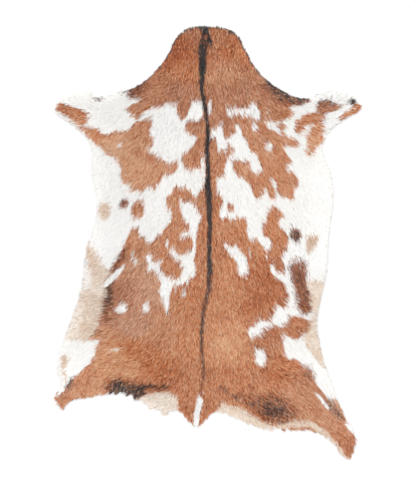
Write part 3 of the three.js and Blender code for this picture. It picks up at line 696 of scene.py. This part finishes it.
def makeCoat(name, points, tone, warmth, kind):
    # one joined mesh; each hair has its own small cell in the map, neighbours side by side
    count = len(points)
    mesh = bpy.data.meshes.new(name)
    mesh.vertices.add(count * 5)
    mesh.vertices.foreach_set("co", (points * mm).astype(np.float32).ravel())
    first = np.arange(count)[:, None] * 5
    loops = np.concatenate([first + [0, 1, 3, 2], first + [2, 3, 4]], axis=1)
    mesh.loops.add(count * 7)
    mesh.loops.foreach_set("vertex_index", loops.astype(np.int32).ravel())
    mesh.polygons.add(count * 2)
    mesh.polygons.foreach_set("loop_start", (np.arange(count)[:, None] * 7 + [0, 4]).astype(np.int32).ravel())
    mesh.update(calc_edges=True)
    side = math.ceil(math.sqrt(count))
    corner = np.stack([np.arange(count) % side, np.arange(count) // side], axis=1)[:, None, :]
    cellShape = np.array([(.12, .08), (.88, .08), (.88, .5), (.12, .5), (.12, .5), (.88, .5), (.5, .94)])
    layer = mesh.uv_layers.new(name="OFBake")
    layer.data.foreach_set("uv", ((corner + cellShape[None]) / side).astype(np.float32).ravel())
    for label, values in (("tone", tone[:, [0, 0, 1, 1, 2]].ravel()), ("warmth", np.repeat(warmth, 5)),
                          ("along", np.tile([0, 0, .52, .52, 1], count))):
        mesh.attributes.new(label, "FLOAT", "POINT").data.foreach_set("value", values.astype(np.float32))
    print(name, "has", count, "hairs,", count * 3, "triangles")
    return placePiece(name, mesh, finishes[kind])


def placePiece(name, mesh, material):
    mesh.materials.append(material)
    piece = bpy.data.objects.new(name, mesh)
    bpy.context.collection.objects.link(piece)
    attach(piece, "root")
    return piece


# finishes
# rootShade and middleShade are painted shade: they darken each hair towards its root, where the coat around
# it shades it
coatLooks = {
    "brown": {
        "name": "brown goat hair",
        "warm": [(0, (116, 46, 14)), (.2, (176, 84, 33)), (.5, (211, 121, 65)), (.7, (222, 145, 89)),
                 (1, (241, 199, 158))],
        "dusky": [(0, (98, 56, 40)), (.2, (159, 98, 66)), (.5, (194, 131, 97)), (.7, (210, 153, 119)),
                  (1, (234, 197, 170))],
        "fleckScale": 700, "fleck": .14, "rootShade": (170, 150, 140), "middleShade": (235, 228, 224),
        "roughness": .5, "gloss": .35, "sheen": .12,
        "lockSpread": .11, "guardSpread": .32, "hairSpread": .19, "clouds": .06, "tips": 1,
    },
    "white": {
        "name": "white goat hair",
        "warm": [(0, (208, 204, 199)), (.4, (248, 247, 243)), (1, (255, 255, 254))],
        "dusky": [(0, (200, 198, 198)), (.4, (246, 246, 246)), (1, (255, 255, 255))],
        "fleckScale": 600, "fleck": .12, "rootShade": (226, 222, 219), "middleShade": (250, 249, 248),
        "roughness": .42, "gloss": .4, "sheen": .15,
        "lockSpread": .045, "guardSpread": 0, "hairSpread": .06, "clouds": .02, "tips": .35,
    },
    "dark": {
        "name": "dark goat hair",
        "warm": [(0, (26, 20, 20)), (.3, (52, 40, 38)), (.6, (86, 62, 52)), (1, (150, 112, 92))],
        "dusky": [(0, (24, 22, 24)), (.3, (50, 44, 46)), (.6, (84, 72, 70)), (1, (146, 130, 122))],
        "fleckScale": 700, "fleck": .16, "rootShade": (180, 170, 165), "middleShade": (235, 230, 228),
        "roughness": .42, "gloss": .4, "sheen": .08,
        "lockSpread": .13, "guardSpread": .2, "hairSpread": .16, "clouds": .05, "tips": 1,
    },
    "cream": {
        "name": "cream belly hair",
        "warm": [(0, (206, 166, 130)), (.35, (230, 208, 186)), (.7, (245, 234, 220)), (1, (254, 251, 247))],
        "dusky": [(0, (202, 172, 148)), (.35, (228, 211, 195)), (.7, (243, 235, 226)), (1, (253, 251, 249))],
        "fleckScale": 600, "fleck": .14, "rootShade": (215, 200, 190), "middleShade": (246, 242, 238),
        "roughness": .46, "gloss": .35, "sheen": .15,
        "lockSpread": .12, "guardSpread": .14, "hairSpread": .12, "clouds": .06, "tips": .8,
    },
}
suede = {"pale": (226, 206, 178), "deep": (196, 168, 134), "cloud": 9, "nap": 420, "crease": 26}


def colour(*rgb):
    # a colour as read on screen, turned to the shader's own scale
    parts = [part / 255 for part in rgb]
    return [p / 12.92 if p <= .04045 else ((p + .055) / 1.055) ** 2.4 for p in parts] + [1]


def feed(tree, node, entries):
    # each entry takes a number or another node's output
    for entry, value in entries.items():
        if isinstance(value, bpy.types.NodeSocket):
            tree.links.new(value, node.inputs[entry])
        else:
            node.inputs[entry].default_value = value


def addNode(tree, kind, entries, output=0, **settings):
    node = tree.nodes.new("ShaderNode" + kind)
    for name, value in settings.items():
        setattr(node, name, value)
    feed(tree, node, entries)
    return node.outputs[output]


def ramp(tree, stops, source):
    node = tree.nodes.new("ShaderNodeValToRGB")
    bar = node.color_ramp
    while len(bar.elements) < len(stops):
        bar.elements.new(.5)
    for element, (at, shade) in zip(bar.elements, stops):
        element.position = at
        element.color = colour(*shade)
    feed(tree, node, {0: source})
    return node.outputs[0]


def startFinish(name):
    material = bpy.data.materials.new(name)
    material.use_nodes = True
    tree = material.node_tree
    return material, tree, tree.nodes["Principled BSDF"], addNode(tree, "TexCoord", {}, "Object")


def hairFinish(look):
    material, tree, shader, place = startFinish(look["name"])
    tone, warmth, along = [addNode(tree, "Attribute", {}, "Fac", attribute_name=name)
                           for name in ("tone", "warmth", "along")]
    fine = addNode(tree, "TexNoise", {"Vector": place, "Scale": look["fleckScale"], "Detail": 3})
    grain = addNode(tree, "TexNoise", {"Vector": place, "Scale": 2600})
    shift = addNode(tree, "Math", {0: tone, 1: look["fleck"] / 2}, operation="SUBTRACT")
    lift = addNode(tree, "Math", {0: fine, 1: look["fleck"], 2: shift}, operation="MULTIPLY_ADD")
    dusky, warm = ramp(tree, look["dusky"], lift), ramp(tree, look["warm"], lift)
    blend = addNode(tree, "Mix", {0: warmth, 6: dusky, 7: warm}, 2, data_type="RGBA")
    # painted shade: each hair's colour is multiplied darker towards its root, where the coat shades it
    shade = ramp(tree, [(0, look["rootShade"]), (.55, look["middleShade"]), (1, (255, 255, 255))], along)
    shaded = addNode(tree, "Mix", {0: 1, 6: blend, 7: shade}, 2, data_type="RGBA", blend_type="MULTIPLY")
    rough = {"Value": fine, "To Min": look["roughness"] - .1, "To Max": look["roughness"] + .1}
    feed(tree, shader, {
        "Base Color": shaded,
        "Roughness": addNode(tree, "MapRange", rough),
        "Normal": addNode(tree, "Bump", {"Height": grain, "Strength": .25, "Distance": .0003}),
        "Specular IOR Level": look["gloss"],
        "Sheen Weight": look["sheen"],
        "Sheen Roughness": .5,
    })
    return material


def suedeFinish():
    material, tree, shader, place = startFinish("tanned skin")
    cloud = addNode(tree, "TexNoise", {"Vector": place, "Scale": suede["cloud"], "Detail": 6})
    nap = addNode(tree, "TexNoise", {"Vector": place, "Scale": suede["nap"], "Detail": 4})
    crease = addNode(tree, "TexVoronoi", {"Vector": place, "Scale": suede["crease"]},
                     feature="DISTANCE_TO_EDGE")
    edges = addNode(tree, "MapRange", {"Value": crease, "From Max": .06})
    both = addNode(tree, "Math", {0: nap, 1: .35, 2: cloud}, operation="MULTIPLY_ADD")
    height = addNode(tree, "Math", {0: edges, 1: .6, 2: nap}, operation="MULTIPLY_ADD")
    feed(tree, shader, {
        "Base Color": ramp(tree, [(.35, suede["deep"]), (.85, suede["pale"])], both),
        "Roughness": addNode(tree, "MapRange", {"Value": nap, "To Min": .78, "To Max": .96}),
        "Normal": addNode(tree, "Bump", {"Height": height, "Strength": .35, "Distance": .0006}),
        "Specular IOR Level": .2,
        "Sheen Weight": .3,
    })
    return material


# the tanned skin under the hair
def makeSkin():
    step = 5.0
    gridX, gridY = np.meshgrid(np.arange(-315, 316, step), np.arange(-440, 441, step))
    x, y = gridX.ravel().copy(), gridY.ravel().copy()
    # a corner just outside the cut edge still belongs when it can be moved onto the edge
    keep = (sample(depth, x, y) > -8) & (skinEdge(x, y) > -1.5)
    grid = np.arange(x.size).reshape(gridX.shape)
    quads = np.stack([grid[:-1, :-1], grid[:-1, 1:], grid[1:, 1:], grid[1:, :-1]], axis=2).reshape(-1, 4)
    quads = quads[keep[quads].all(axis=1)]
    sides = np.stack([quads, np.roll(quads, -1, axis=1)], axis=2).reshape(-1, 2).tolist()
    known = {tuple(side) for side in sides}
    rim = np.array([(a, b) for a, b in sides if (b, a) not in known])
    onRim = np.unique(rim)
    for _ in range(6):
        # the outermost corners slide onto the cut edge
        sx, sy = sample(slopeX, x[onRim], y[onRim]), sample(slopeY, x[onRim], y[onRim])
        size = np.hypot(sx, sy) + .3
        move = np.clip(skinEdge(x[onRim], y[onRim]), -2.2, 2.2) * .6
        x[onRim] -= move * sx / size
        y[onRim] -= move * sy / size
    used = np.unique(quads.ravel())
    number = np.full(x.size, -1)
    number[used] = np.arange(used.size)
    x, y = x[used], y[used]
    bottom = sample(lowHeight, x, y)
    top = np.maximum(skinTopAt(x, y), bottom + .5)
    points = np.concatenate([np.stack([x, y, z], axis=1) * mm for z in (bottom, top)])
    quads = number[quads]
    rim = number[rim]
    above = used.size           # from a lower corner's number to that of the upper one
    walls = np.stack([rim[:, 0], rim[:, 1], rim[:, 1] + above, rim[:, 0] + above], axis=1)
    mesh = bpy.data.meshes.new("skin")
    mesh.from_pydata(points.tolist(), [], np.concatenate([quads + above, quads[:, ::-1], walls]).tolist())
    mesh.update()
    for polygon in mesh.polygons:
        polygon.use_smooth = True
    skin = placePiece("skin", mesh, suedeFinish())
    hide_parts("goatskin")
    print("skin has", len(mesh.polygons), "faces")
    return skin


# making the coat
shading = {
    "lookAlong": (.78, .5, 6),      # where on a hair its colour is read, less at the rim, mm over which
    "tooth": 2.8,                   # mm that single hairs stray along and across a patch's edge
    "stray": 0.8,
    "darkHairs": (.04, .13, 38),    # share everywhere, more beside the line down the back, mm over which
    "darker": .38,
    "paleHairs": .08,
    "paler": .28,
    "seam": .13,                    # brown is darker where it meets white
    "seamHairs": .25,
    "rimPaintedShadow": .28,                 # painted shadow: white hair is greyer at the rim, standing in for the thin shadow along the hide's edge
    "warmthSpread": .26,
}


def paintHairs(h):
    # each hair's coat, tone at its root, middle and tip, and warmth
    x, y, dx, dy = rootAndRun(h)
    length = np.hypot(dx, dy)
    ux, uy = dx / length, dy / length
    count = x.size
    along, less, over = shading["lookAlong"]
    inward = np.clip(-outwardness(x, y, np.arctan2(dx, -dy)), 0, 1)
    inward = inward * np.exp(-np.maximum(sample(depth, x, y), 0) / over)
    reach = along - less * inward
    tooth = (h["tooth"] + chance.normal(0, shading["tooth"], count)) * (1 - .7 * inward)
    across = chance.normal(0, shading["stray"], count)
    lookX = x + dx * reach + ux * tooth + uy * across
    lookY = y + dy * reach + uy * tooth - ux * across
    coat, tone, warmth = coatAt(lookX, lookY, h["luck"])
    brown, white = coat == kinds["brown"], coat == kinds["white"]

    def own(label):
        return np.array([coatLooks[name][label] for name in kinds])[coat]

    # uneven tone from lock to lock, hair to hair, and in soft clouds
    tone = tone + h["lockTone"] * np.where(h["guard"] > 0, own("guardSpread"), own("lockSpread"))
    tone += chance.normal(0, 1, count) * own("hairSpread")
    tone += wave(x, y, 55, 8) * own("clouds")
    fate = chance.uniform(0, 1, count)
    few, more, beside = shading["darkHairs"]
    fromStripe = np.abs(lookX - np.interp(lookY, stripeRows[:, 0], stripeRows[:, 1]))
    grizzle = few + more * np.exp(-(fromStripe / beside) ** 2) * np.clip((lookY + 190) / 60, 0, 1)
    tone[brown & (fate < grizzle)] -= shading["darker"]
    tone[brown & (fate > 1 - shading["paleHairs"])] += shading["paler"]
    ahead = coatAt(lookX + ux * 5, lookY + uy * 5, h["luck"])[0]
    behind = coatAt(lookX - ux * 4 + uy * 2, lookY - uy * 4 - ux * 2, h["luck"])[0]
    seam = brown & ((ahead == kinds["white"]) | (behind == kinds["white"]))
    tone[seam] -= shading["seam"]
    tone[seam & (fate > .25) & (fate < .45)] -= shading["seamHairs"]
    under = h["high"] < 0
    # painted shade: the under hair, lying deep in the coat, is made .08 darker
    tone[under] -= .08
    # painted shadow: white hair greys within a few mm of the rim, for the shadow along the hide's edge
    tone[white] -= shading["rimPaintedShadow"] * np.exp(-np.maximum(sample(depth, h["tipX"], h["tipY"]), 0) / 2)[white]
    warmth = warmth + chance.normal(0, shading["warmthSpread"], count)
    tip = np.where(under, 0, .05 + h["lockTip"] * .17 + chance.normal(0, .08, count)) * own("tips")
    # painted shade: each hair's root is .12 darker than its middle, where the coat above shades it
    tone = np.stack([tone - .12, tone, tone + tip], axis=1)
    return coat, np.clip(tone, 0, 1), np.clip(warmth, 0, 1)


def makeCoats():
    laid = [(combHair(), 0), (layGuardHairs(), 1), (layUnderHair(), 3)]     # with mm cut shorter at the rim
    layers = [holdAtRim(layer, shorter) for layer, shorter in laid]
    h = {key: np.concatenate([layer[key] for layer in layers]) for key in layers[0]}
    points = ribbons(h)
    coat, tone, warmth = paintHairs(h)
    x, y = h["rootX"], h["rootY"]
    # the guard hairs are left out of the white, where they would show as dots
    wanted = (h["guard"] == 0) | (coat != kinds["white"])
    far = 1000
    bands = [                   # name, coat, x from and to, y from and to
        ("coat_brown_neck", "brown", -far, far, 130, far),
        ("coat_brown_back", "brown", -far, far, -110, 130),
        ("coat_brown_rump_left", "brown", -far, -12, -far, -110),
        ("coat_brown_rump_right", "brown", -12, far, -far, -110),
        ("coat_white_left", "white", -far, 0, -far, far),
        ("coat_white_right", "white", 0, far, -far, far),
        ("coat_dark", "dark", -far, far, -far, far),
        ("coat_cream", "cream", -far, far, -far, far),
    ]
    made = []
    for name, kind, fromX, toX, fromY, toY in bands:
        inBand = (x >= fromX) & (x < toX) & (y > fromY) & (y <= toY)
        chosen = np.nonzero(wanted & (coat == kinds[kind]) & inBand)[0]
        order = chosen[np.lexsort((x[chosen], np.floor(y[chosen] / 6)))]
        made.append(makeCoat(name, points[order], tone[order], warmth[order], kind))
    return made


finishes = {name: hairFinish(look) for name, look in coatLooks.items()}
skin = makeSkin()
coats = makeCoats()


# floor, light and camera, in metres
studio = {
    "floorReach": 6,
    "floorDrop": 0.0004,
    "sky": 0.78,
    "key": 1.82,
    "keyAngle": 40,
    "keyLean": (-24, -9, 0),
    "cameraHeight": 4.0,
    "framed": 0.970,            # length of floor that fills the picture's longer side
}


def addToScene(name, data):
    thing = bpy.data.objects.new(name, data)
    bpy.context.collection.objects.link(thing)
    return thing


def makeStudio():
    material, tree, shader, place = startFinish("pale floor")
    cloud = addNode(tree, "TexNoise", {"Vector": place, "Scale": 3})
    pale = ramp(tree, [(0, (235, 235, 235)), (1, (238, 238, 238))], cloud)
    feed(tree, shader, {"Base Color": pale, "Roughness": .9, "Specular IOR Level": .1})
    reach, drop = studio["floorReach"], -studio["floorDrop"]
    mesh = bpy.data.meshes.new("floor")
    corners = [(-reach, -reach, drop), (reach, -reach, drop), (reach, reach, drop), (-reach, reach, drop)]
    mesh.from_pydata(corners, [], [(0, 1, 2, 3)])
    mesh.materials.append(material)
    addToScene("floor", mesh)
    scene = bpy.context.scene
    scene.world = bpy.data.worlds.new("studio")
    scene.world.use_nodes = True
    sky = scene.world.node_tree.nodes["Background"]
    sky.inputs[0].default_value = (1, 1, 1, 1)
    sky.inputs[1].default_value = studio["sky"]
    sun = bpy.data.lights.new("key", "SUN")
    sun.energy = studio["key"]
    sun.angle = math.radians(studio["keyAngle"])
    addToScene("key", sun).rotation_euler = [math.radians(turn) for turn in studio["keyLean"]]
    camera = bpy.data.cameras.new("camera")
    camera.sensor_width = 36
    camera.lens = camera.sensor_width * studio["cameraHeight"] / studio["framed"]
    camera.clip_end = 50
    scene.camera = addToScene("camera", camera)
    scene.camera.location = (-.001, .001, studio["cameraHeight"])
    scene.view_settings.view_transform = "Standard"
    scene.view_settings.look = "None"
    print("studio ready")


makeStudio()
